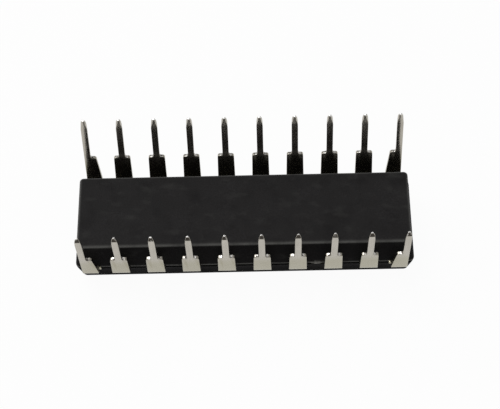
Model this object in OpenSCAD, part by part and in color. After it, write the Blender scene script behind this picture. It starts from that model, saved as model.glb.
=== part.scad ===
// Plastic dual in-line package with twenty leads, lying on its marked face with the leads up.
// X runs along the package, Y across it, and Z = 0 is the marked face. Units are millimetres.

/* [Moulded body] */
// Length at the parting plane
body_l = 24.33; // [24.1:0.01:26.9]
// Width at the parting plane
body_w = 6.86; // [6.3:0.01:7.1]
// Height from the marked face to the underside
body_h = 4.06; // [3.3:0.01:4.6]
// Draft of the side walls between the parting plane and the underside, in degrees
underside_draft = 13; // [5:0.5:15]
// Draft of the side walls between the parting plane and the marked face, in degrees
marked_draft = 14; // [5:0.5:15]
// Draft of the end walls between the parting plane and the underside, in degrees
underside_end_draft = 5; // [3:0.5:15]
// Draft of the end walls between the parting plane and the marked face, in degrees
marked_end_draft = 10; // [3:0.5:15]
// Radius along the edges of the two flat faces
edge_r = 0.22; // [0.1:0.01:0.35]
// Radius down the four corners, as seen from above
corner_r = 0.35; // [0.2:0.01:0.6]

/* [End notch] */
// Diameter of the half-round notch that marks the end with lead 1
notch_d = 1.9; // [1.2:0.1:2.2]
// Depth of the notch below the marked face
notch_depth = 0.7; // [0.3:0.05:1]
// Distance of the notch's centre outside the end of the flat marked face
notch_out = 0.1; // [0:0.05:0.3]

/* [Leads] */
// Distance between neighbouring leads
pitch = 2.54; // [2.5:0.01:2.56]
// Thickness of the sheet that the leads are stamped from
lead_t = 0.25; // [0.2:0.01:0.32]
// Width of the narrow blade
blade_w = 0.457; // [0.4:0.001:0.53]
// Width of the shoulder
shoulder_w = 1.27; // [1.15:0.01:1.6]
// Reach of an end lead's shoulder towards the middle, at its foot
end_foot = 0.92; // [0.9:0.01:1.05]
// Flat run of a lead between the wall and its bend
flat_l = 0.16; // [0.05:0.01:0.25]
// Inner radius of the bend
bend_r = 0.3; // [0.2:0.01:0.4]
// Outward lean of the legs, in degrees
splay = 10; // [2:0.5:11]
// Height of the ledges above the underside
standoff = 0.6; // [0.38:0.01:0.9]
// Length of the blade beyond the ledges
blade_l = 3.8; // [2.92:0.01:3.81]
// Length of the taper at the tip
taper_l = 0.75; // [0.4:0.05:1]
// Radius of the nose at the tip
nose_r = 0.09; // [0.06:0.01:0.14]
// Depth of the coined bevel on each face at the tip
coin_d = 0.07; // [0.03:0.01:0.08]
// Length of the coined bevel
coin_l = 0.5; // [0.3:0.05:0.7]
// Radius at the outer corners of the ledges
lobe_r = 0.16; // [0.08:0.01:0.2]
// Radius where the blade rises from the ledge
root_r = 0.14; // [0.05:0.01:0.17]

/* [Lead frame inside] */
// Length of the paddle under the die
paddle_l = 5.4; // [4:0.1:5.6]
// Width of the paddle
paddle_w = 2.5; // [2.1:0.1:2.6]
// Width of the bar that ties the paddle to each end of the body
tie_w = 0.4; // [0.3:0.05:0.45]
// Width of the fingers that run in to the paddle
finger_w = 0.4; // [0.3:0.01:0.42]
// Smallest gap between pieces of the frame
frame_gap = 0.25; // [0.18:0.01:0.27]
// Depth to which the full shoulder is buried behind the wall
anchor_l = 0.45; // [0.3:0.05:0.5]

/* [Die and bond wires] */
// Length of the silicon die
die_l = 2.6; // [2.2:0.1:3.4]
// Width of the silicon die
die_w = 1.8; // [1.6:0.1:2]
// Thickness of the silicon die
die_t = 0.3; // [0.2:0.01:0.4]
// Thickness of the adhesive layer under the die
attach_t = 0.03; // [0.02:0.005:0.06]
// Width of adhesive that shows round the die
attach_rim = 0.06; // [0.02:0.01:0.12]
// Side of the wire's section
wire_d = 0.03; // [0.02:0.005:0.05]
// Height of the wire loop above a straight line between its ends
loop_h = 0.28; // [0.15:0.01:0.4]
// Length of the flat landing at each end of a wire
landing_l = 0.08; // [0.05:0.01:0.12]
// Distance of the bond pads from the edge of the die
pad_inset = 0.1; // [0.06:0.01:0.15]
// Distance between pads along the long edges of the die
pad_pitch_long = 0.6; // [0.3:0.05:0.65]
// Distance between pads along the short edges of the die
pad_pitch_short = 0.24; // [0.15:0.01:0.25]

/* [Hidden] */
$fn = 32;
arc_steps = 6;
leads_per_quarter = 5;
leads_per_row = 2 * leads_per_quarter;
lead_count = 2 * leads_per_row;

epoxy_black = [0.13, 0.13, 0.14];
tin_grey = [0.70, 0.68, 0.64];
frame_copper = [0.72, 0.45, 0.28];
silicon_grey = [0.35, 0.38, 0.45];
adhesive_grey = [0.60, 0.60, 0.58];
wire_gold = [0.86, 0.68, 0.30];

// The lead frame lies in the parting plane, halfway up the body.
lead_z = body_h / 2;
frame_bottom = lead_z - lead_t / 2;
frame_top = lead_z + lead_t / 2;
last = leads_per_quarter - 1;

// The bend turns the sheet from flat to the lean of the leg.
bend_outer_r = bend_r + lead_t;
bend_y = body_w / 2 + flat_l;
bend_z = frame_top + bend_r;
bend_mid_r = bend_r + lead_t / 2;
ledge_l = (body_h + standoff - bend_z + bend_mid_r * sin(splay)) / cos(splay);
leg_l = ledge_l + blade_l;

// Fingers of the frame run in tracks beside the tie bar, one gap apart.
function lead_x(k) = (k + 1 / 2) * pitch;
function track_y(j) = tie_w / 2 + frame_gap + finger_w / 2 + j * (finger_w + frame_gap);
paddle_end_x = paddle_l / 2 + frame_gap + finger_w / 2;
paddle_side_y = paddle_w / 2 + frame_gap + finger_w / 2;
anchor_y = body_w / 2 - anchor_l;
turn_y = track_y(2) + frame_gap + finger_w / 2;
second_tip_x = paddle_l / 2 - finger_w;
third_tip_x = lead_x(1) + frame_gap + finger_w;

// Centre line of each finger in one quarter of the frame, from the shoulder to the tip.
fingers = [
    [[lead_x(0), anchor_y], [lead_x(0), paddle_side_y]],
    [[lead_x(1), anchor_y], [lead_x(1), turn_y], [second_tip_x, paddle_side_y]],
    [[lead_x(2), anchor_y], [lead_x(2), track_y(2)], [third_tip_x, track_y(2)]],
    [[lead_x(3), anchor_y], [lead_x(3), track_y(1)], [paddle_end_x, track_y(1)]],
    [[lead_x(4), anchor_y], [lead_x(4), track_y(0)], [paddle_end_x, track_y(0)]]
];
function finger_tip(k) = fingers[k][len(fingers[k]) - 1];

// Two pads of a quarter lie on the die's long edge and three on its short edge.
long_edge_pads = 2;
function pad_point(k) =
    k < long_edge_pads
    ? [(k + 1 / 2) * pad_pitch_long, die_w / 2 - pad_inset]
    : [die_l / 2 - pad_inset, (last - k + 1 / 2) * pad_pitch_short];

attach_bottom = frame_bottom - attach_t;
die_bottom = attach_bottom - die_t;
wire_steps = 6;

// Leads count along the back row from the notch, then return along the front row.
function in_back_row(n) = n <= leads_per_row;
function slot_of(n) = in_back_row(n) ? n - 1 : lead_count - n;
function on_right(n) = slot_of(n) >= leads_per_quarter;
function quarter_index(n) = on_right(n) ? slot_of(n) - leads_per_quarter : last - slot_of(n);

// Places a form of the quarter with X and Y above zero in the quarter where lead n is.
module at_lead(n) {
    mirror([on_right(n) ? 0 : 1, 0, 0])
        mirror([0, in_back_row(n) ? 0 : 1, 0])
            children();
}

// Points along an arc, for outlines that are drawn corner by corner.
function arc_points(centre, r, from, to) = [
    for (i = [0 : arc_steps])
        let (a = from + (to - from) * i / arc_steps)
        centre + r * [cos(a), sin(a)]
];

function reversed(points) = [for (i = [len(points) - 1 : -1 : 0]) points[i]];

// Distance from a corner to where its rounding meets the flat face, on a wall with draft.
function rounding_start(draft) = edge_r * tan((90 - draft) / 2);

// Right half of the body's section, from the marked face up to the underside.
function half_section(full_w, low_draft, high_draft) =
    let (
        half = full_w / 2,
        low_half = half - frame_bottom * tan(low_draft),
        high_half = half - frame_bottom * tan(high_draft),
        low_centre = [low_half - rounding_start(low_draft), edge_r],
        high_centre = [high_half - rounding_start(high_draft), body_h - edge_r]
    )
    concat(
        arc_points(low_centre, edge_r, -90, -low_draft),
        [[half, frame_bottom], [half, frame_top]],
        arc_points(high_centre, edge_r, high_draft, 90)
    );

// Section across the body, with two drafts, rounded edges and a land where the mould parts.
module drafted_section(full_w, low_draft, high_draft) {
    right = half_section(full_w, low_draft, high_draft);
    left = [for (point = reversed(right)) [-point[0], point[1]]];
    polygon(concat(right, left));
}

// Rectangle with round corners.
module rounded_rect(l, w, r) {
    square([l - 2 * r, w], center = true);
    square([l, w - 2 * r], center = true);
    for (x = [-1, 1], y = [-1, 1])
        translate([x * (l / 2 - r), y * (w / 2 - r)])
            circle(r);
}

module body_block() {
    intersection() {
        translate([-body_l, 0, 0])
            rotate([90, 0, 90])
                linear_extrude(2 * body_l)
                    drafted_section(body_w, marked_draft, underside_draft);
        translate([0, body_w, 0])
            rotate([90, 0, 0])
                linear_extrude(2 * body_w)
                    drafted_section(body_l, marked_end_draft, underside_end_draft);
        linear_extrude(body_h)
            rounded_rect(body_l, body_w, corner_r);
    }
}

// Half-round notch in the end wall beside lead 1, open to the marked face.
module end_notch() {
    flat_end = body_l / 2 - frame_bottom * tan(marked_end_draft);
    translate([-flat_end - notch_out, 0, -notch_depth])
        cylinder(h = 2 * notch_depth, d = notch_d);
}

// Straight run of a finger with a round joint at each end.
module finger_run(from, to) {
    run = to - from;
    translate(from)
        rotate(atan2(run[1], run[0]))
            translate([0, -finger_w / 2])
                square([norm(run), finger_w]);
    translate(from)
        circle(finger_w / 2);
    translate(to)
        circle(finger_w / 2);
}

// Plan of the flat part of a lead, from the finger tip out to the bend.
module lead_plan(k) {
    path = fingers[k];
    for (i = [0 : len(path) - 2])
        finger_run(path[i], path[i + 1]);
    x = lead_x(k);
    foot = k == last ? end_foot : shoulder_w / 2;
    outer = k == last ? blade_w / 2 : shoulder_w / 2;
    translate([x - foot, anchor_y])
        square([foot + outer, bend_y - anchor_y]);
}

// Side view of the sheet: flat, bend, and leg with a coined tip.
module sheet_profile() {
    translate([0, frame_bottom])
        square([bend_y, lead_t]);
    translate([bend_y, bend_z]) {
        intersection() {
            difference() {
                circle(bend_outer_r);
                circle(bend_r);
            }
            rotate(-splay)
                polygon(bend_wedge());
        }
        rotate(-splay)
            polygon([
                [bend_r, 0], [bend_outer_r, 0],
                [bend_outer_r, leg_l - coin_l], [bend_outer_r - coin_d, leg_l],
                [bend_r + coin_d, leg_l], [bend_r, leg_l - coin_l]
            ]);
    }
}

// Corner points of the wedge that the bend sweeps through, before it is turned by the lean.
function bend_wedge() =
    let (sweep = 90 - splay, reach = 2 * bend_outer_r)
    [for (a = [0, -sweep / 2, -sweep]) reach * [cos(a), sin(a)], [0, 0]];

// Front view of a leg, with zero height at the end of the bend.
module leg_outline(k) {
    below = 2 * bend_outer_r;
    half = shoulder_w / 2;
    tip_start = leg_l - taper_l;
    if (k == last)
        end_shoulder(below);
    else
        for (side = [0, 1])
            mirror([side, 0])
                half_shoulder(half, below);
    translate([-blade_w / 2, 0])
        square([blade_w, tip_start]);
    for (side = k == last ? [1] : [0, 1])
        mirror([side, 0])
            translate([blade_w / 2, ledge_l])
                difference() {
                    square(root_r);
                    translate([root_r, root_r])
                        circle(root_r);
                }
    polygon([
        [-blade_w / 2, tip_start], [blade_w / 2, tip_start],
        [nose_r, leg_l - nose_r], [-nose_r, leg_l - nose_r]
    ]);
    translate([0, leg_l - nose_r])
        circle(nose_r);
}

// One side of a full shoulder, with a round outer corner at the ledge.
module half_shoulder(half, below) {
    translate([0, -below])
        square([half, ledge_l + below - lobe_r]);
    translate([0, -below])
        square([half - lobe_r, ledge_l + below]);
    translate([half - lobe_r, ledge_l - lobe_r])
        circle(lobe_r);
}

// An end lead's shoulder stands out on one side only, and its flank slants to a wider foot.
module end_shoulder(below) {
    half = shoulder_w / 2;
    polygon([
        [blade_w / 2, -below], [blade_w / 2, ledge_l], [lobe_r - half, ledge_l],
        [-half, ledge_l - lobe_r], [-end_foot, 0], [-end_foot, -below]
    ]);
    translate([lobe_r - half, ledge_l - lobe_r])
        circle(lobe_r);
}

// A whole lead in the quarter with X and Y above zero.
module lead_form(k) {
    x = lead_x(k);
    span = leads_per_row * pitch;
    depth = bend_outer_r + lead_t;
    intersection() {
        rotate([90, 0, 90])
            linear_extrude(span)
                sheet_profile();
        union() {
            translate([0, 0, frame_bottom - lead_t])
                linear_extrude(3 * lead_t)
                    lead_plan(k);
            translate([x, bend_y, bend_z])
                rotate([-splay, 0, 0])
                    translate([0, depth, 0])
                        rotate([90, 0, 0])
                            linear_extrude(depth)
                                leg_outline(k);
        }
    }
}

module lead(n) {
    color(tin_grey)
        at_lead(n)
            lead_form(quarter_index(n));
}

module paddle_plan() {
    square([paddle_l, paddle_w], center = true);
    square([body_l, tie_w], center = true);
}

module die_paddle() {
    color(frame_copper)
        translate([0, 0, frame_bottom])
            linear_extrude(lead_t)
                paddle_plan();
}

module die_attach() {
    color(adhesive_grey)
        translate([0, 0, attach_bottom])
            linear_extrude(attach_t)
                square([die_l + 2 * attach_rim, die_w + 2 * attach_rim], center = true);
}

module silicon_die() {
    color(silicon_grey)
        translate([0, 0, die_bottom])
            linear_extrude(die_t)
                square([die_l, die_w], center = true);
}

// Height of a wire's near side over the finger, at a share u of the way from the pad.
function wire_rise(u) = (attach_t + die_t) * (1 - u) + 4 * loop_h * u * (1 - u);

// Side view of a wire that lands flat on its pad and flat on its finger.
function wire_edge(run, lift) =
    let (free = run - 2 * landing_l)
    concat(
        [[0, wire_rise(0) + lift]],
        [for (i = [0 : wire_steps])
            let (u = i / wire_steps)
            [landing_l + u * free, wire_rise(u) + lift]],
        [[run, wire_rise(1) + lift]]
    );

// A bond wire in the quarter with X and Y above zero, looped on the marked side of the frame.
module wire_form(k) {
    pad = pad_point(k);
    run = finger_tip(k) - pad;
    outline = concat(wire_edge(norm(run), 0), reversed(wire_edge(norm(run), wire_d)));
    translate([pad[0], pad[1], frame_bottom])
        rotate([0, 0, atan2(run[1], run[0])])
            rotate([90, 0, 0])
                linear_extrude(wire_d, center = true)
                    mirror([0, 1])
                        polygon(outline);
}

module bond_wire(n) {
    color(wire_gold)
        at_lead(n)
            wire_form(quarter_index(n));
}

// Everything that the epoxy flows round, taken out of the body at its exact size.
module moulded_in() {
    for (n = [1 : lead_count]) {
        lead(n);
        bond_wire(n);
    }
    die_paddle();
    die_attach();
    silicon_die();
}

module mould_body() {
    color(epoxy_black)
        difference() {
            body_block();
            end_notch();
            moulded_in();
        }
}

mould_body();
lead(1);  // lead_01
lead(2);  // lead_02
lead(3);  // lead_03
lead(4);  // lead_04
lead(5);  // lead_05
lead(6);  // lead_06
lead(7);  // lead_07
lead(8);  // lead_08
lead(9);  // lead_09
lead(10);  // lead_10
lead(11);  // lead_11
lead(12);  // lead_12
lead(13);  // lead_13
lead(14);  // lead_14
lead(15);  // lead_15
lead(16);  // lead_16
lead(17);  // lead_17
lead(18);  // lead_18
lead(19);  // lead_19
lead(20);  // lead_20
die_paddle();
die_attach();
silicon_die();
bond_wire(1);  // bond_wire_01
bond_wire(2);  // bond_wire_02
bond_wire(3);  // bond_wire_03
bond_wire(4);  // bond_wire_04
bond_wire(5);  // bond_wire_05
bond_wire(6);  // bond_wire_06
bond_wire(7);  // bond_wire_07
bond_wire(8);  // bond_wire_08
bond_wire(9);  // bond_wire_09
bond_wire(10);  // bond_wire_10
bond_wire(11);  // bond_wire_11
bond_wire(12);  // bond_wire_12
bond_wire(13);  // bond_wire_13
bond_wire(14);  // bond_wire_14
bond_wire(15);  // bond_wire_15
bond_wire(16);  // bond_wire_16
bond_wire(17);  // bond_wire_17
bond_wire(18);  // bond_wire_18
bond_wire(19);  // bond_wire_19
bond_wire(20);  // bond_wire_20
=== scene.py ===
from math import cos, radians, sin, tan

import bmesh
import bpy
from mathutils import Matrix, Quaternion, Vector


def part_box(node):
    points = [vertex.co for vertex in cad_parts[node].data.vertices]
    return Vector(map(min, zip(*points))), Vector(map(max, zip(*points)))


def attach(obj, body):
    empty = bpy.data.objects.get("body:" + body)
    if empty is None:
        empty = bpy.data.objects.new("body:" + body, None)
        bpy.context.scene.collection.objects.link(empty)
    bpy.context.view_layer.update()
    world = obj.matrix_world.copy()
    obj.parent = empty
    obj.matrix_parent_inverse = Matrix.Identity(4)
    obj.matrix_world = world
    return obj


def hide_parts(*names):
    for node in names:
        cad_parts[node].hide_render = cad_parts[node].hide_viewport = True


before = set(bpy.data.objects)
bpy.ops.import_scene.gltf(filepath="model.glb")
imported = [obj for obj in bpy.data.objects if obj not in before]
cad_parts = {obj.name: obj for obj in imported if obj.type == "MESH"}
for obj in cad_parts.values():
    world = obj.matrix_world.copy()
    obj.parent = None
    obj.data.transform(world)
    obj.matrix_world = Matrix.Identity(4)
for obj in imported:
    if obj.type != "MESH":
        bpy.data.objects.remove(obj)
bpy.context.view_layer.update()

# The camera stands in front of the chip and looks down on its underside, as the photograph does.
# It is turned a little about its own axis, because the photograph's rows climb towards the right.
mm = 0.001
camera_distance = 125 * mm
camera_elevation = radians(56.7)
camera_azimuth = radians(-1.2)
camera_roll = radians(-2.2)
camera_target = Vector((0.44, 1.04, 3.0)) * mm
sensor_width = 36
lens_length = 123.0
nearest_seen = 5 * mm
farthest_seen = 5

towards_camera = Vector((
    -sin(camera_azimuth) * cos(camera_elevation),
    -cos(camera_azimuth) * cos(camera_elevation),
    sin(camera_elevation),
))
bpy.ops.object.camera_add(location=camera_target + towards_camera * camera_distance)
camera = bpy.context.object
camera.name = "camera"
camera.rotation_mode = "QUATERNION"
camera.rotation_quaternion = (
    (-towards_camera).to_track_quat("-Z", "Y") @ Quaternion((0, 0, 1), camera_roll)
)
camera.data.sensor_width = sensor_width
camera.data.lens = lens_length
camera.data.clip_start = nearest_seen
camera.data.clip_end = farthest_seen
bpy.context.scene.camera = camera
bpy.context.scene.view_settings.view_transform = "Standard"

# The table is a plain white sheet. It shows white to the camera and in the metal's reflections,
# and keeps a faint shadow, because part of it is an ordinary matt surface.
floor_size = 2.0
floor_drop = 0.004 * mm
floor_white = (0.7, 0.7, 0.7, 1)
floor_glow_share = 0.955

bpy.ops.mesh.primitive_plane_add(size=floor_size, location=(0, 0, -floor_drop))
table_sheet = bpy.context.object
table_sheet.name = "table_sheet"
paper = bpy.data.materials.new("white_paper")
paper.use_nodes = True
nodes = paper.node_tree.nodes
links = paper.node_tree.links
nodes.clear()
matt = nodes.new("ShaderNodeBsdfDiffuse")
matt.inputs["Color"].default_value = floor_white
glow = nodes.new("ShaderNodeEmission")
glow.inputs["Strength"].default_value = 1
ray = nodes.new("ShaderNodeLightPath")
seen_or_mirrored = nodes.new("ShaderNodeMath")
seen_or_mirrored.operation = "MAXIMUM"
links.new(ray.outputs["Is Camera Ray"], seen_or_mirrored.inputs[0])
links.new(ray.outputs["Is Glossy Ray"], seen_or_mirrored.inputs[1])
or_through_glass = nodes.new("ShaderNodeMath")
or_through_glass.operation = "MAXIMUM"
links.new(seen_or_mirrored.outputs[0], or_through_glass.inputs[0])
links.new(ray.outputs["Is Transmission Ray"], or_through_glass.inputs[1])
share = nodes.new("ShaderNodeMath")
share.operation = "MULTIPLY"
share.inputs[1].default_value = floor_glow_share
links.new(or_through_glass.outputs[0], share.inputs[0])
sheet_mix = nodes.new("ShaderNodeMixShader")
links.new(share.outputs[0], sheet_mix.inputs["Fac"])
links.new(matt.outputs[0], sheet_mix.inputs[1])
links.new(glow.outputs[0], sheet_mix.inputs[2])
sheet_out = nodes.new("ShaderNodeOutputMaterial")
links.new(sheet_mix.outputs[0], sheet_out.inputs["Surface"])
table_sheet.data.materials.append(paper)

# A wide soft lamp hangs over the chip, behind it and to the left, and a weaker one stands at the left.
# The room itself gives an even grey light from every side.
room_strength = 0.45
lamps = (
    ("overhead_lamp", (-0.11, 0.09, 0.28), 0.20, 0.52),
    ("side_lamp", (-0.27, 0.10, 0.18), 0.18, 0.16),
)

room = bpy.data.worlds.new("studio_room")
bpy.context.scene.world = room
room.use_nodes = True
backdrop = room.node_tree.nodes["Background"]
backdrop.inputs["Color"].default_value = (1, 1, 1, 1)
backdrop.inputs["Strength"].default_value = room_strength
for name, place, size, power in lamps:
    bpy.ops.object.light_add(type="AREA", location=place)
    lamp = bpy.context.object
    lamp.name = name
    lamp.data.size = size
    lamp.data.energy = power
    lamp.rotation_mode = "QUATERNION"
    lamp.rotation_quaternion = (-Vector(place)).to_track_quat("-Z", "Y")

# The body is black epoxy, moulded round the lead frame in a two-part mould. Each half has draft,
# the halves leave a land and a thin fin of flash where they meet, and one end has a round notch.
body_low, body_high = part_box("mould_body")
body_l = body_high.x - body_low.x
body_w = body_high.y - body_low.y
body_h = body_high.z
lead_z = body_h / 2
sheet_t = 0.25 * mm
underside_slopes = (radians(5), radians(13))
marked_slopes = (radians(10), radians(14))
body_corner_r = 0.3 * mm
body_edge_r = 0.22 * mm
body_round_steps = 4
parting_step = 0.05 * mm
parting_rim = 0.015 * mm
seam_strip = 0.11 * mm
notch_r = 0.95 * mm
notch_depth = 0.7 * mm
notch_out = 0.1 * mm
notch_sides = 48
scar_place = (5.17 * mm, -body_w / 2, lead_z)
scar_size = (0.42 * mm, 0.13 * mm, 0.15 * mm)
scar_unevenness = 0.018 * mm
scar_seed = 3
scar_detail = 3
body_smooth_angle = radians(30)
# The least cosine between two directions that count as the same.
aligned = 0.9
tiny = 0.001 * mm


def fresh_selection():
    if bpy.context.object and bpy.context.object.mode != "OBJECT":
        bpy.ops.object.mode_set(mode="OBJECT")
    bpy.ops.object.select_all(action="DESELECT")


def pick(kind, test):
    """Selects the faces, edges or vertices of the mesh in edit mode whose middle passes the test."""
    bpy.ops.mesh.select_mode(type=kind)
    bpy.ops.mesh.select_all(action="DESELECT")
    mesh = bmesh.from_edit_mesh(bpy.context.object.data)
    parts = {"FACE": mesh.faces, "EDGE": mesh.edges, "VERT": mesh.verts}[kind]
    for part in parts:
        if kind == "FACE":
            middle = part.calc_center_median()
        elif kind == "EDGE":
            middle = (part.verts[0].co + part.verts[1].co) / 2
        else:
            middle = part.co
        if test(middle, part):
            part.select_set(True)
    mesh.select_flush_mode()
    bmesh.update_edit_mesh(bpy.context.object.data)


def edge_direction(edge):
    return (edge.verts[1].co - edge.verts[0].co).normalized()


def face_outwards():
    """Recalculates the normals, and turns them all over where that left the shape inside out."""
    bpy.ops.mesh.select_all(action="SELECT")
    bpy.ops.mesh.normals_make_consistent(inside=False)
    mesh = bmesh.from_edit_mesh(bpy.context.object.data)
    if mesh.calc_volume(signed=True) < 0:
        bpy.ops.mesh.flip_normals()


fresh_selection()
bpy.ops.mesh.primitive_cube_add(size=1, location=(0, 0, body_h / 2), scale=(body_l, body_w, body_h))
epoxy_body = bpy.context.object
epoxy_body.name = "epoxy_body"
bpy.ops.object.transform_apply(location=True, rotation=True, scale=True)
bpy.ops.object.mode_set(mode="EDIT")
pick("EDGE", lambda middle, edge: abs(edge_direction(edge).z) > aligned)
bpy.ops.mesh.bevel(offset=body_corner_r, segments=body_round_steps, affect="EDGES")
for height in (lead_z - sheet_t / 2 - seam_strip, lead_z - sheet_t / 2, lead_z, lead_z + sheet_t / 2):
    bpy.ops.mesh.select_all(action="SELECT")
    bpy.ops.mesh.bisect(plane_co=(0, 0, height), plane_no=(0, 0, 1))
wall_h = lead_z - sheet_t / 2
for level, (end_slope, side_slope) in ((body_h, underside_slopes), (0, marked_slopes)):
    pick("VERT", lambda middle, vert: abs(middle.z - level) < tiny)
    bpy.ops.transform.resize(
        value=(1 - 2 * wall_h * tan(end_slope) / body_l, 1 - 2 * wall_h * tan(side_slope) / body_w, 1),
        center_override=(0, 0, level),
    )
pick("EDGE", lambda middle, edge: middle.z < tiny or middle.z > body_h - tiny)
bpy.ops.mesh.bevel(offset=body_edge_r, segments=body_round_steps, affect="EDGES")
for side in (-1, 1):
    pick("FACE", lambda middle, face: abs(middle.z - lead_z - side * sheet_t / 4) < tiny)
    bpy.ops.mesh.inset(thickness=parting_rim, depth=side * parting_step)
face_outwards()
bpy.ops.object.mode_set(mode="OBJECT")

fresh_selection()
flat_end = body_l / 2 - wall_h * tan(marked_slopes[0])
bpy.ops.mesh.primitive_cylinder_add(
    vertices=notch_sides, radius=notch_r, depth=2 * notch_depth, location=(-flat_end - notch_out, 0, 0)
)
notch_cutter = bpy.context.object
bpy.context.view_layer.objects.active = epoxy_body
cut = epoxy_body.modifiers.new("end_notch", "BOOLEAN")
cut.operation = "DIFFERENCE"
cut.object = notch_cutter
bpy.ops.object.modifier_apply(modifier=cut.name)
bpy.data.objects.remove(notch_cutter)

fresh_selection()
bpy.ops.mesh.primitive_ico_sphere_add(
    subdivisions=scar_detail, radius=1, location=scar_place, scale=scar_size
)
gate_scar = bpy.context.object
bpy.ops.object.transform_apply(location=True, rotation=True, scale=True)
bpy.ops.object.mode_set(mode="EDIT")
bpy.ops.mesh.select_all(action="SELECT")
bpy.ops.transform.vertex_random(offset=scar_unevenness, seed=scar_seed)
bpy.ops.object.mode_set(mode="OBJECT")
bpy.context.view_layer.objects.active = epoxy_body
weld = epoxy_body.modifiers.new("gate_scar", "BOOLEAN")
weld.operation = "UNION"
weld.object = gate_scar
bpy.ops.object.modifier_apply(modifier=weld.name)
bpy.data.objects.remove(gate_scar)

fresh_selection()
epoxy_body.select_set(True)
bpy.context.view_layer.objects.active = epoxy_body
bpy.ops.object.shade_smooth_by_angle(angle=body_smooth_angle)
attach(epoxy_body, "root")
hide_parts("mould_body")


def new_material(name):
    """A new material with its node tree and its main shader."""
    made = bpy.data.materials.new(name)
    made.use_nodes = True
    tree = made.node_tree
    return made, tree, tree.nodes["Principled BSDF"]


def add_node(tree, kind, **values):
    made = tree.nodes.new(kind)
    for name, value in values.items():
        setattr(made, name, value)
    return made


def mix_colours(tree, share, first, second):
    """A colour between two colours, each a fixed value or another node's output."""
    made = add_node(tree, "ShaderNodeMix", data_type="RGBA")
    tree.links.new(share, made.inputs["Factor"])
    for socket, colour in ((made.inputs["A"], first), (made.inputs["B"], second)):
        if isinstance(colour, tuple):
            socket.default_value = colour
        else:
            tree.links.new(colour, socket)
    return made.outputs["Result"]


def spread_group():
    """Node group: a noise on the object's own coordinates, stretched, and spread from 0 to 1."""
    group = bpy.data.node_groups.new("spread_noise", "ShaderNodeTree")
    for name in ("Along X", "Along Y", "Along Z", "Detail", "From", "To"):
        group.interface.new_socket(name=name, in_out="INPUT", socket_type="NodeSocketFloat")
    group.interface.new_socket(name="Value", in_out="OUTPUT", socket_type="NodeSocketFloat")
    entry = group.nodes.new("NodeGroupInput")
    leave = group.nodes.new("NodeGroupOutput")
    place = group.nodes.new("ShaderNodeTexCoord")
    stretch = group.nodes.new("ShaderNodeCombineXYZ")
    for axis in "XYZ":
        group.links.new(entry.outputs["Along " + axis], stretch.inputs[axis])
    scaled = add_node(group, "ShaderNodeVectorMath", operation="MULTIPLY")
    group.links.new(place.outputs["Object"], scaled.inputs[0])
    group.links.new(stretch.outputs[0], scaled.inputs[1])
    noise = group.nodes.new("ShaderNodeTexNoise")
    noise.inputs["Scale"].default_value = 1
    group.links.new(scaled.outputs[0], noise.inputs["Vector"])
    group.links.new(entry.outputs["Detail"], noise.inputs["Detail"])
    spread = group.nodes.new("ShaderNodeMapRange")
    group.links.new(noise.outputs["Fac"], spread.inputs["Value"])
    group.links.new(entry.outputs["From"], spread.inputs["From Min"])
    group.links.new(entry.outputs["To"], spread.inputs["From Max"])
    group.links.new(spread.outputs["Result"], leave.inputs["Value"])
    return group


spread_noise = spread_group()


def noise_value(tree, along, detail, low, high):
    """One use of the noise group: repeats per metre along each axis, its detail, and the range it fills."""
    made = tree.nodes.new("ShaderNodeGroup")
    made.node_tree = spread_noise
    for axis, scale in zip("XYZ", along):
        made.inputs["Along " + axis].default_value = scale
    made.inputs["Detail"].default_value = detail
    made.inputs["From"].default_value = low
    made.inputs["To"].default_value = high
    return made.outputs["Value"]


def add_bump(tree, shader, height, strength, distance):
    bump = tree.nodes.new("ShaderNodeBump")
    bump.inputs["Strength"].default_value = strength
    bump.inputs["Distance"].default_value = distance
    tree.links.new(height, bump.inputs["Height"])
    tree.links.new(bump.outputs["Normal"], shader.inputs["Normal"])


def object_height(tree):
    place = tree.nodes.new("ShaderNodeTexCoord")
    split = tree.nodes.new("ShaderNodeSeparateXYZ")
    tree.links.new(place.outputs["Object"], split.inputs[0])
    return split.outputs["Z"]


def rise_mask(tree, value, low, high):
    """Nothing at the low value, one at the high value, and a smooth rise between."""
    made = add_node(tree, "ShaderNodeMapRange", interpolation_type="SMOOTHSTEP")
    made.inputs["From Min"].default_value = low
    made.inputs["From Max"].default_value = high
    tree.links.new(value, made.inputs["Value"])
    return made.outputs["Result"]


def band_mask(tree, height, centre, reach):
    """One at the centre height, falling to nothing at the reach above and below it."""
    away = add_node(tree, "ShaderNodeMath", operation="SUBTRACT")
    tree.links.new(height, away.inputs[0])
    away.inputs[1].default_value = centre
    apart = add_node(tree, "ShaderNodeMath", operation="ABSOLUTE")
    tree.links.new(away.outputs[0], apart.inputs[0])
    return rise_mask(tree, apart.outputs[0], reach, 0)


def times(tree, first, second):
    made = add_node(tree, "ShaderNodeMath", operation="MULTIPLY")
    for socket, value in zip(made.inputs, (first, second)):
        if isinstance(value, float):
            socket.default_value = value
        else:
            tree.links.new(value, socket)
    return made.outputs[0]


def near_place(tree, point, reach):
    """One at a point of the object, falling to nothing at the reach from it."""
    place = tree.nodes.new("ShaderNodeTexCoord")
    apart = add_node(tree, "ShaderNodeVectorMath", operation="DISTANCE")
    tree.links.new(place.outputs["Object"], apart.inputs[0])
    apart.inputs[1].default_value = point
    return rise_mask(tree, apart.outputs["Value"], reach, 0)


def spread_roughness(tree, shader, value, low, high):
    """Roughness that goes from the low to the high figure as the value goes from 0 to 1."""
    made = add_node(tree, "ShaderNodeMapRange")
    made.inputs["To Min"].default_value = low
    made.inputs["To Max"].default_value = high
    tree.links.new(value, made.inputs["Value"])
    tree.links.new(made.outputs["Result"], shader.inputs["Roughness"])


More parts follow.
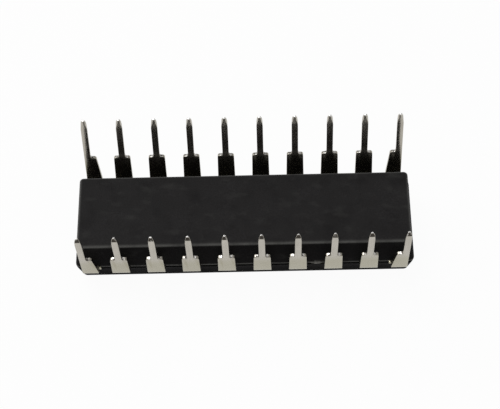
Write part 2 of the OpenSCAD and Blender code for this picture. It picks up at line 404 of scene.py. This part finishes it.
epoxy_dark = (0.0098, 0.0092, 0.0095, 1)
epoxy_pale = (0.0168, 0.0157, 0.0163, 1)
epoxy_edge_highlight = (0.105, 0.104, 0.100, 1)
epoxy_scuffed = (0.0200, 0.0195, 0.0190, 1)
epoxy_painted_shade = (0.0015, 0.0015, 0.0015, 1)
flash_highlight_grey = (0.135, 0.133, 0.128, 1)
scar_grey = (0.21, 0.205, 0.195, 1)
lower_wall_full_height = 0.2 * mm
lower_wall_shade_share = 0.35
edge_highlight_height = body_h - 0.10 * mm
edge_highlight_reach = 0.12 * mm
flash_height = lead_z + 0.07 * mm
flash_reach = 0.08 * mm
scar_reach = 0.75 * mm
scar_height = 0.34 * mm
cloud_share = 0.4
black_epoxy, tree, shader = new_material("black_epoxy")
clouding = noise_value(tree, (420, 520, 520), 4, 0.35, 0.68)
filler = noise_value(tree, (9000, 9000, 9000), 2, 0.3, 0.7)
body_colour = mix_colours(tree, times(tree, clouding, filler), epoxy_dark, epoxy_pale)
scuffs = noise_value(tree, (800, 1300, 1300), 5, 0.56, 0.74)
body_colour = mix_colours(tree, scuffs, body_colour, epoxy_scuffed)
height = object_height(tree)
# Painted shade: below the lead plane the wall is darkened towards the table, to stand in for the shade
# there. The same mask also makes that wall rougher.
lower_wall = rise_mask(tree, height, lead_z, lower_wall_full_height)
body_colour = mix_colours(tree, times(tree, lower_wall, lower_wall_shade_share), body_colour, epoxy_painted_shade)
# Painted highlight: a pale broken line runs round the rounded edge of the upward face, where the light
# catches it. A noise breaks this line, and the one along the flash, into pieces.
highlight_breakup = noise_value(tree, (700, 700, 700), 4, 0.05, 0.5)
painted_edge_highlight = times(tree, band_mask(tree, height, edge_highlight_height, edge_highlight_reach), highlight_breakup)
body_colour = mix_colours(tree, painted_edge_highlight, body_colour, epoxy_edge_highlight)
# Painted highlight: a pale broken line along the flash fin just above the lead plane, where its top catches
# the light.
painted_flash_highlight = times(tree, band_mask(tree, height, flash_height, flash_reach), highlight_breakup)
body_colour = mix_colours(tree, painted_flash_highlight, body_colour, flash_highlight_grey)
torn_epoxy = noise_value(tree, (3200, 3200, 6400), 3, 0.42, 0.56)
scar_band = band_mask(tree, height, lead_z, scar_height)
scar_area = times(tree, near_place(tree, scar_place, scar_reach), scar_band)
body_colour = mix_colours(tree, times(tree, scar_area, torn_epoxy), body_colour, scar_grey)
tree.links.new(body_colour, shader.inputs["Base Color"])
dullness = add_node(tree, "ShaderNodeMath", operation="MULTIPLY_ADD")
dullness.inputs[1].default_value = cloud_share
tree.links.new(clouding, dullness.inputs[0])
tree.links.new(lower_wall, dullness.inputs[2])
spread_roughness(tree, shader, dullness.outputs[0], 0.6, 0.88)
shader.inputs["Specular IOR Level"].default_value = 0.03
add_bump(tree, shader, filler, 0.35, 0.01 * mm)
epoxy_body.data.materials.append(black_epoxy)

# Painted shade: a near-black matt strip without gloss lies just below the lead plane, under the flash fin,
# where shade falls.
seam_shade_black = (0.0008, 0.0008, 0.0008, 1)
seam_shade_grey = (0.006, 0.006, 0.006, 1)
seam_slot = 1
seam_painted_shade, tree, shader = new_material("seam_painted_shade")
shade_breakup = noise_value(tree, (2500, 2500, 2500), 3, 0.45, 0.75)
tree.links.new(mix_colours(tree, shade_breakup, seam_shade_black, seam_shade_grey), shader.inputs["Base Color"])
shader.inputs["Roughness"].default_value = 0.95
shader.inputs["Specular IOR Level"].default_value = 0
epoxy_body.data.materials.append(seam_painted_shade)


def paint_faces(slot_index, test):
    pick("FACE", test)
    bpy.context.object.active_material_index = slot_index
    bpy.ops.object.material_slot_assign()


fresh_selection()
epoxy_body.select_set(True)
bpy.context.view_layer.objects.active = epoxy_body
bpy.ops.object.mode_set(mode="EDIT")
# The painted shade strip goes on the faces between the strip's lower edge and the lead plane.
paint_faces(seam_slot, lambda middle, face: (
    lead_z - sheet_t / 2 - seam_strip < middle.z < lead_z - tiny
))
bpy.ops.object.mode_set(mode="OBJECT")

# Each lead is stamped from sheet, bent close to the body's wall and plated with tin. It has a wide
# shoulder, a ledge on each side of a narrow blade, and a coined tip. The end leads have half a shoulder.
leads_per_quarter = 5
lead_count = 20
pitch = 2.54 * mm
blade_w = 0.457 * mm
shoulder_w = 1.27 * mm
ledge_share = 0.94
end_foot = 0.92 * mm
bend_y = body_w / 2 + 0.16 * mm
bend_r = 0.3 * mm
bend_z = lead_z + sheet_t / 2 + bend_r
bend_steps = 8
lean = radians(10)
ledge_z = body_h + 0.6 * mm
blade_l = 3.8 * mm
taper_l = 0.85 * mm
coin_l = 0.38 * mm
coin_d = 0.11 * mm
dam_stub = 0.13 * mm
lobe_r = 0.16 * mm
lobe_steps = 6
root_r = 0.14 * mm
root_steps = 4
anchor_y = body_w / 2 - 0.45 * mm
finger_w = 0.4 * mm
rim_r = 0.028 * mm
rim_steps = 2
rim_angle = radians(40)
lead_smooth_angle = radians(50)
tip_rim = 0.04 * mm
merge_gap = tiny / 10
# The least cosines of a face that points straight a given way, and of one that leans that way at all.
flush = 0.99
slanted = 0.2
tin_slot, ledge_slot, coin_slot, bevel_slot = range(4)
# Share of the taper's length, then the share of the blade's width on the outer and on the inner face.
tip_outline = (
    (0.3, 1, 0.78),
    (1 - coin_l / taper_l, 0.96, 0.44),
    (0.72, 0.88, 0.32),
    (0.89, 0.70, 0.24),
    (1, 0.45, 0.15),
)
tip_mid = -0.04 * mm
tip_back = 0.05 * mm
last_form = leads_per_quarter - 1
paddle_half_l = 2.7 * mm
paddle_half_w = 1.25 * mm
tie_half_w = 0.2 * mm
frame_gap = 0.25 * mm
track_step = finger_w + frame_gap
first_track = tie_half_w + frame_gap + finger_w / 2
beside_paddle = paddle_half_w + frame_gap + finger_w / 2
beyond_paddle = paddle_half_l + frame_gap + finger_w / 2
second_turn = first_track + 2 * track_step + frame_gap + finger_w / 2
finger_routes = (
    (beside_paddle, None),
    (second_turn, (paddle_half_l - finger_w, beside_paddle)),
    (first_track + 2 * track_step, (3 / 2 * pitch + frame_gap + finger_w, first_track + 2 * track_step)),
    (first_track + track_step, (beyond_paddle, first_track + track_step)),
    (first_track, (beyond_paddle, first_track)),
)
ledge_l = (ledge_z - bend_z + (bend_r + sheet_t / 2) * sin(lean)) / cos(lean)
leg_l = ledge_l + blade_l
leg_axis = Vector((0, sin(lean), cos(lean)))
leg_out = Vector((0, cos(lean), -sin(lean)))
leg_start = Vector((0, bend_y, bend_z)) + leg_out * (bend_r + sheet_t / 2)


def along_leg(point):
    """Distance of a point from the end of the bend, measured up the leg."""
    return (point - leg_start).dot(leg_axis)


def across_leg(point):
    """Distance of a point from the middle of the sheet's thickness, outwards."""
    return (point - leg_start).dot(leg_out)


def draw_out(move):
    bpy.ops.mesh.extrude_region_move(TRANSFORM_OT_translate={"value": move})


def run_finger(k, x):
    """Draws the buried end of a lead in towards the die's paddle, with one turn where the route has one."""
    turn_y, tip = finger_routes[k]
    half = finger_w / 2
    pick("FACE", lambda middle, face: middle.y < anchor_y + tiny and abs(middle.x - x) < tiny)
    bpy.ops.transform.resize(value=(finger_w / blade_w, 1, 1), center_override=(x, anchor_y, lead_z))
    draw_out((0, turn_y + half - anchor_y, 0))
    draw_out((0, -finger_w, 0))
    if tip:
        pick("FACE", lambda middle, face: face.normal.x < -aligned and abs(middle.y - turn_y) < tiny)
        draw_out((tip[0] - x, tip[1] - turn_y, 0))


def form_lead(k):
    """Models the lead of form k, for the quarter where X and Y are above zero."""
    x = (k + 1 / 2) * pitch
    at_end = k == last_form
    foot = end_foot if at_end else shoulder_w / 2
    flank = blade_w / 2 if at_end else shoulder_w / 2
    fresh_selection()
    bpy.ops.mesh.primitive_cube_add(
        size=1,
        location=(x + (flank - foot) / 2, (anchor_y + bend_y) / 2, lead_z),
        scale=(foot + flank, bend_y - anchor_y, sheet_t),
    )
    made = bpy.context.object
    for finish in (tinned_lead, sheared_ledge, cut_tip, torn_and_highlight_tip):
        made.data.materials.append(finish)
    bpy.ops.object.transform_apply(location=True, rotation=True, scale=True)
    bpy.ops.object.mode_set(mode="EDIT")
    for side in (-1, 1):
        bpy.ops.mesh.select_all(action="SELECT")
        bpy.ops.mesh.bisect(plane_co=(x + side * blade_w / 2, 0, 0), plane_no=(1, 0, 0))

    pick("FACE", lambda middle, face: face.normal.y > aligned)
    bpy.ops.mesh.spin(
        steps=bend_steps, angle=radians(90) - lean, center=(x, bend_y, bend_z), axis=(-1, 0, 0)
    )
    draw_out(leg_axis * ledge_l)
    if at_end:
        pick("VERT", lambda middle, vert: middle.x < x - foot + tiny and along_leg(middle) > ledge_l / 2)
        bpy.ops.transform.translate(value=(end_foot - shoulder_w / 2, 0, 0))
    else:
        pick("VERT", lambda middle, vert: abs(middle.x - x) > blade_w and along_leg(middle) > ledge_l / 2)
        bpy.ops.transform.resize(value=(ledge_share, 1, 1), center_override=(x, bend_y, bend_z))

    pick("FACE", lambda middle, face: abs(middle.x - x) < tiny and face.normal.dot(leg_axis) > flush)
    tip_start = leg_l - taper_l
    coin_start = leg_l - coin_l
    draw_out(leg_axis * (tip_start - ledge_l))
    bpy.ops.mesh.bisect(plane_co=leg_start + leg_out * tip_mid, plane_no=leg_out)
    share_below, width_below = 0, 1
    for share, width, _ in tip_outline:
        pick("FACE", lambda middle, face: (
            abs(along_leg(middle) - tip_start - taper_l * share_below) < tiny
            and face.normal.dot(leg_axis) > flush
        ))
        draw_out(leg_axis * taper_l * (share - share_below))
        bpy.ops.transform.resize(value=(width / width_below, 1, 1), center_override=(x, bend_y, leg_l))
        share_below, width_below = share, width
    for share, width, inner_width in tip_outline:
        station = tip_start + taper_l * share
        pick("VERT", lambda middle, vert: (
            abs(along_leg(middle) - station) < tiny and across_leg(middle) < tip_mid - tiny
        ))
        bpy.ops.transform.resize(value=(inner_width / width, 1, 1), center_override=(x, bend_y, leg_l))
        if station > coin_start + tiny:
            pick("VERT", lambda middle, vert: (
                abs(along_leg(middle) - station) < tiny and across_leg(middle) > 0
            ))
            bpy.ops.transform.translate(value=leg_out * -coin_d * (station - coin_start) / coin_l)
    pick("VERT", lambda middle, vert: (
        along_leg(middle) > leg_l - tiny and across_leg(middle) < tip_mid - tiny
    ))
    bpy.ops.transform.translate(value=leg_axis * -tip_back)
    pick("EDGE", lambda middle, edge: (
        abs(along_leg(middle) - coin_start) < tiny and across_leg(middle) > tiny
    ))
    bpy.ops.mesh.mark_sharp()

    def crosses_sheet(edge):
        return abs(edge_direction(edge).dot(leg_out)) > aligned

    pick("EDGE", lambda middle, edge: (
        crosses_sheet(edge) and abs(along_leg(middle) - ledge_l) < tiny and abs(middle.x - x) > blade_w
    ))
    bpy.ops.mesh.bevel(offset=lobe_r, segments=lobe_steps, affect="EDGES")
    paint_faces(ledge_slot, lambda middle, face: (
        face.normal.dot(leg_axis) > flush and abs(along_leg(middle) - ledge_l) < tiny
    ))
    root_sides = (-1,) if at_end else (-1, 1)
    for side in root_sides:
        pick("EDGE", lambda middle, edge: (
            crosses_sheet(edge)
            and abs(along_leg(middle) - ledge_l) < tiny
            and abs(middle.x - x - side * blade_w / 2) < tiny
        ))
        bpy.ops.mesh.bevel(offset=root_r, segments=root_steps, affect="EDGES")
    paint_faces(coin_slot, lambda middle, face: (
        face.normal.dot(leg_out) > aligned and along_leg(middle) > coin_start
    ))
    paint_faces(bevel_slot, lambda middle, face: (
        -aligned < face.normal.dot(leg_out) < -slanted
        and across_leg(middle) < tip_mid
        and along_leg(middle) > tip_start
    ))
    pick("EDGE", lambda middle, edge: (
        across_leg(middle) > 0
        and along_leg(middle) > tip_start
        and sum(face.normal.dot(leg_out) > aligned for face in edge.link_faces) == 1
    ))
    bpy.ops.mesh.bevel(
        offset=tip_rim, segments=1, affect="EDGES", material=tin_slot, clamp_overlap=True
    )
    if at_end:
        pick("FACE", lambda middle, face: (
            face.normal.x < -aligned and anchor_y < middle.y < bend_y and middle.z < lead_z + sheet_t
        ))
        draw_out((-dam_stub, 0, 0))
    run_finger(k, x)
    bpy.ops.mesh.select_all(action="SELECT")
    bpy.ops.mesh.remove_doubles(threshold=merge_gap)
    face_outwards()
    bpy.ops.object.mode_set(mode="OBJECT")
    soften = made.modifiers.new("rounded_rims", "BEVEL")
    soften.width = rim_r
    soften.segments = rim_steps
    soften.limit_method = "ANGLE"
    soften.angle_limit = rim_angle
    bpy.ops.object.modifier_apply(modifier=soften.name)
    bpy.ops.object.shade_smooth_by_angle(angle=lead_smooth_angle)
    return made


tin_dull = (0.360, 0.340, 0.292, 1)
tin_bright = (0.475, 0.445, 0.392, 1)
tin_olive = (0.340, 0.318, 0.240, 1)
tinned_lead, tree, shader = new_material("tinned_lead")
streaks = noise_value(tree, (9000, 450, 450), 2, 0.25, 0.75)
clouds = noise_value(tree, (1500, 700, 700), 2, 0.3, 0.7)
even_share = 0.5
blend = add_node(tree, "ShaderNodeMath", operation="MULTIPLY_ADD")
blend.inputs[1].default_value = even_share
tree.links.new(streaks, blend.inputs[0])
tree.links.new(times(tree, clouds, even_share), blend.inputs[2])
tin_colour = mix_colours(tree, blend.outputs[0], tin_dull, tin_bright)
near_body = rise_mask(tree, object_height(tree), ledge_z + 0.3 * mm, body_h - 0.5 * mm)
tin_colour = mix_colours(tree, near_body, tin_colour, tin_olive)
tree.links.new(tin_colour, shader.inputs["Base Color"])
shader.inputs["Metallic"].default_value = 1
spread_roughness(tree, shader, clouds, 0.20, 0.27)
add_bump(tree, shader, streaks, 0.12, 0.004 * mm)


def make_sheared(name, low, high, bright_tin):
    """Cut metal: tin is left on part of it in the bright colour, and the dull sheet shows where the tool
    tore it away. On the tips' flanks that bright colour is a near-white tin that paints their highlight.
    """
    made, tree, shader = new_material(name)
    torn = noise_value(tree, (5200, 5200, 5200), 2, low, high)
    tree.links.new(mix_colours(tree, torn, bright_tin, sheet_dark), shader.inputs["Base Color"])
    shader.inputs["Metallic"].default_value = 1
    spread_roughness(tree, shader, torn, 0.25, 0.6)
    add_bump(tree, shader, torn, 0.4, 0.01 * mm)
    return made


tin_smooth = (0.74, 0.72, 0.68, 1)
tin_painted_highlight = (0.93, 0.92, 0.90, 1)
sheet_dark = (0.060, 0.052, 0.042, 1)
sheared_ledge = make_sheared("sheared_ledge", 0.45, 0.62, tin_smooth)
cut_tip = make_sheared("cut_tip", 0.18, 0.42, tin_smooth)
# Painted highlight: the tips' inner flanks get a near-white tin, far brighter than the rest of the lead, so
# that they show as bright rims. The dull torn patches on them are real cut metal.
torn_and_highlight_tip = make_sheared("torn_and_highlight_tip", 0.62, 0.80, tin_painted_highlight)

for k in range(leads_per_quarter):
    form = form_lead(k)
    numbers = {
        (1, 1): leads_per_quarter + 1 + k,
        (-1, 1): leads_per_quarter - k,
        (1, -1): lead_count - leads_per_quarter - k,
        (-1, -1): lead_count - leads_per_quarter + 1 + k,
    }
    for (side, row), number in numbers.items():
        fresh_selection()
        form.select_set(True)
        bpy.context.view_layer.objects.active = form
        bpy.ops.object.duplicate()
        lead = bpy.context.object
        lead.name = f"pressed_lead_{number:02d}"
        lead.scale = (side, row, 1)
        bpy.ops.object.transform_apply(location=True, rotation=True, scale=True)
        bpy.ops.object.mode_set(mode="EDIT")
        face_outwards()
        bpy.ops.object.mode_set(mode="OBJECT")
        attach(lead, "root")
        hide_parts(f"lead_{number:02d}")
    bpy.data.objects.remove(form)

# The paddle in the middle of the lead frame carries the die and is tied to both ends of the body.
# It is stamped from the same sheet as the leads and stays bare inside the epoxy.
def dress(node, material):
    """Gives a CAD node that stays as it is the material in place of its plain one."""
    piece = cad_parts[node]
    for place in piece.material_slots:
        place.material = material


sheet_pale = (0.56, 0.44, 0.36, 1)
sheet_shadow = (0.40, 0.30, 0.24, 1)
rolled_sheet, tree, shader = new_material("rolled_sheet")
rolling = noise_value(tree, (500, 9000, 9000), 3, 0.3, 0.7)
tree.links.new(mix_colours(tree, rolling, sheet_shadow, sheet_pale), shader.inputs["Base Color"])
shader.inputs["Metallic"].default_value = 1
shader.inputs["Roughness"].default_value = 0.38
add_bump(tree, shader, rolling, 0.3, 0.004 * mm)
dress("die_paddle", rolled_sheet)

# A thin pad of silver-filled adhesive holds the die to the paddle. It is pressed out a little round
# the die's edge, and the silver flakes give it a dull grain.
flake_dark = (0.22, 0.22, 0.21, 1)
flake_pale = (0.50, 0.50, 0.48, 1)
silver_adhesive, tree, shader = new_material("silver_adhesive")
flakes = noise_value(tree, (22000, 22000, 22000), 2, 0.35, 0.65)
tree.links.new(mix_colours(tree, flakes, flake_dark, flake_pale), shader.inputs["Base Color"])
shader.inputs["Metallic"].default_value = 0.4
shader.inputs["Roughness"].default_value = 0.6
add_bump(tree, shader, flakes, 0.5, 0.004 * mm)
dress("die_attach", silver_adhesive)

# The die is a sawn chip of silicon. Its face is nearly a mirror, with the slight colour of the thin
# layers on it.
silicon_blue = (0.10, 0.13, 0.20, 1)
silicon_violet = (0.17, 0.13, 0.20, 1)
sawn_silicon, tree, shader = new_material("sawn_silicon")
layers = noise_value(tree, (2600, 2600, 2600), 2, 0.35, 0.65)
tree.links.new(mix_colours(tree, layers, silicon_blue, silicon_violet), shader.inputs["Base Color"])
shader.inputs["Metallic"].default_value = 0.7
shader.inputs["Roughness"].default_value = 0.18
dress("silicon_die", sawn_silicon)

# Twenty drawn wires, one to a lead, loop from the die's pads to the fingers. They are welded down at
# both ends with heat and sound.
gold_deep = (0.72, 0.46, 0.14, 1)
gold_light = (0.90, 0.66, 0.28, 1)
drawn_gold, tree, shader = new_material("drawn_gold")
drawing = noise_value(tree, (12000, 12000, 12000), 2, 0.3, 0.7)
tree.links.new(mix_colours(tree, drawing, gold_deep, gold_light), shader.inputs["Base Color"])
shader.inputs["Metallic"].default_value = 1
shader.inputs["Roughness"].default_value = 0.28
for number in range(1, lead_count + 1):
    dress(f"bond_wire_{number:02d}", drawn_gold)
